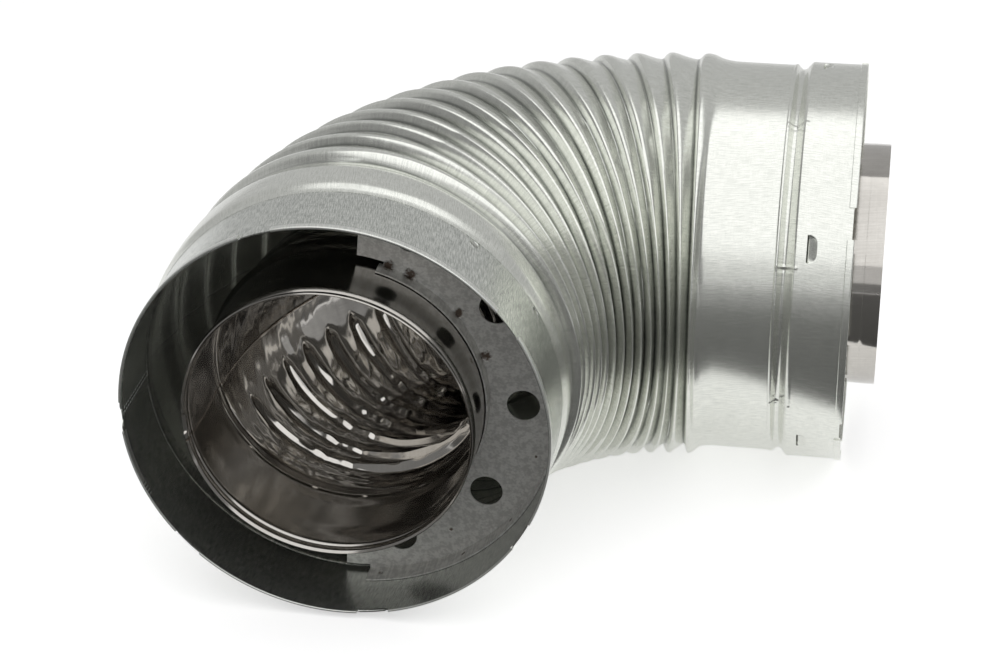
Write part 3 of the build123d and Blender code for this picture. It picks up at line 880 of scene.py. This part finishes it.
# Stakes struck into the lock bead, the widening, and a notch at the seam in the rim
def pressSleeve(radius, depth, angle):
    values = linerSleeve
    inBead = mound(depth - values["beadPlace"], values["beadWidth"])
    pressed = radius.copy()
    for stake in values["stakeAngles"]:
        pressed -= values["stakeDepth"] * inBead * mound(wrapped(angle, stake) * radius, values["stakeWidth"])
    begin, end = values["fillEase"]
    filling = np.clip((depth - values["fillFrom"]) / begin, 0, 1) * np.clip((values["fillTo"] - depth) / end, 0, 1)
    filling = filling * filling * (3 - 2 * filling)
    pressed += filling * (values["fillOut"] - values["fillShift"] * np.cos(angle))
    return pressed, np.maximum(depth, notchBite(angle, values) + values["rimDepth"])


sleeve = turnedSheet("linerSleevePiece", linerSleeve, linerMouth, pressSleeve)
sleeve.data.materials.append(sleeveSheet)
smoothOver(sleeve)
own(sleeve, "bright_liner", "liner_sleeve")

# The spacer plate keeps its solid
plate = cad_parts["spacer_plate"]
for plateSlot in plate.material_slots:
    plateSlot.material = darkSheet
if not plate.material_slots:
    plate.data.materials.append(darkSheet)

# Camera, at the photograph's viewpoint
camera = {
    "place": (69.12 * mm, -826.66 * mm, 461.56 * mm),    # from the bend's centre, on the pipe's axis level
    "left": 9.67, "down": 27.69, "roll": -0.32, "lens": 88.26, "sensor": 36, "clip": (0.01, 50),
}
left, down, roll = (math.radians(camera[key]) for key in ("left", "down", "roll"))
ahead = Vector((-math.sin(left) * math.cos(down), math.cos(left) * math.cos(down), -math.sin(down)))
side = Vector((math.cos(left), math.sin(left), 0))
above = side.cross(ahead)
sideTurned = side * math.cos(roll) + above * math.sin(roll)
aboveTurned = above * math.cos(roll) - side * math.sin(roll)
cameraData = bpy.data.cameras.new("photoCamera")
cameraData.sensor_width = camera["sensor"]
cameraData.lens = camera["lens"]
cameraData.clip_start, cameraData.clip_end = camera["clip"]
cameraObject = bpy.data.objects.new("photoCamera", cameraData)
bpy.context.scene.collection.objects.link(cameraObject)
cameraPlace = Vector((bendCentreX, bendCentreY, axisHeight)) + Vector(camera["place"])
turning = Matrix((sideTurned, aboveTurned, -ahead)).transposed().to_4x4()
cameraObject.matrix_world = Matrix.Translation(cameraPlace) @ turning
bpy.context.scene.camera = cameraObject

# Studio: white floor, a wide soft box overhead, a lower one in front, and a dark card on the floor before the
# object that only the metal sees
studio = {
    "floorSize": 6.0, "floorColour": (0.86, 0.86, 0.86, 1), "floorGlow": 0.52, "floorGlowInMetal": 0.4,
    "roughness": 0.9,
    "overhead": {"place": (0.42, -0.82, 1.05), "aim": (0.42, -0.82, 0.0), "size": (2.04, 2.62), "level": 1.03},
    "front": {"place": (0.0, -2.3, 0.75), "aim": (0.0, 0.0, 0.6), "size": (2.0, 0.7), "level": 0.5},
    "worldFront": (0.24, 0.24, 0.24, 1), "worldBack": (0.5, 0.5, 0.5, 1), "worldTurn": (-0.1, 0.7),
    "card": {"near": -0.118, "far": -2.2, "half": 1.0, "slant": 0.8, "slantFrom": 0.06, "lift": 0.001,
             "colour": (0.1, 0.1, 0.098, 1)},
}


def stagePlane(name, corners, colour, glow=0.0, glowInMetal=0.0):
    mesh = bpy.data.meshes.new(name)
    mesh.from_pydata(corners, [], [tuple(range(len(corners)))])
    plane = bpy.data.objects.new(name, mesh)
    bpy.context.scene.collection.objects.link(plane)
    material = bpy.data.materials.new(name)
    material.use_nodes = True
    tree = material.node_tree
    shader = tree.nodes["Principled BSDF"]
    shader.inputs["Base Color"].default_value = colour
    shader.inputs["Roughness"].default_value = studio["roughness"]
    if glow:      # seen white by the camera, and by metal, with its shadows kept
        path = put(tree, "ShaderNodeLightPath").outputs
        mirrored = greatest(tree, [path["Is Glossy Ray"], path["Is Transmission Ray"]])
        seen = greatest(tree, [times(tree, path["Is Camera Ray"], glow), times(tree, mirrored, glowInMetal)])
        shader.inputs["Emission Color"].default_value = (1, 1, 1, 1)
        feed(tree, shader.inputs["Emission Strength"], seen)
    mesh.materials.append(material)
    return plane


half = studio["floorSize"] / 2
stagePlane("studioFloor", [(-half, -half, 0), (half, -half, 0), (half, half, 0), (-half, half, 0)],
           studio["floorColour"], studio["floorGlow"], studio["floorGlowInMetal"])
near, far, wide, lift = (studio["card"][key] for key in ("near", "far", "half", "lift"))
slantEnd = near + studio["card"]["slant"] * wide
card = stagePlane("darkCard", [(-wide, far, lift), (wide, far, lift), (wide, slantEnd, lift),
                               (studio["card"]["slantFrom"], near, lift), (-wide, near, lift)],
                  studio["card"]["colour"])
card.visible_camera = False
card.visible_diffuse = False
card.visible_shadow = False

for key in ("overhead", "front"):
    spec = studio[key]
    lamp = bpy.data.lights.new(key, "AREA")
    lamp.shape = "RECTANGLE"
    lamp.size, lamp.size_y = spec["size"]
    lamp.energy = spec["level"] * math.pi * spec["size"][0] * spec["size"][1]
    lampObject = bpy.data.objects.new(key, lamp)
    bpy.context.scene.collection.objects.link(lampObject)
    lampObject.location = spec["place"]
    lampObject.rotation_mode = "QUATERNION"
    lampObject.rotation_quaternion = (Vector(spec["aim"]) - Vector(spec["place"])).to_track_quat("-Z", "Y")

world = bpy.data.worlds.new("studioWorld")
bpy.context.scene.world = world
world.use_nodes = True
sky = world.node_tree
skyway = split(sky, put(sky, "ShaderNodeTexCoord").outputs["Generated"])["Y"]
skyTone = mixed(sky, span(sky, skyway, *studio["worldTurn"]), studio["worldFront"], studio["worldBack"])
feed(sky, sky.nodes["Background"].inputs["Color"], skyTone)
bpy.context.scene.view_settings.view_transform = "Standard"
print("studio made")
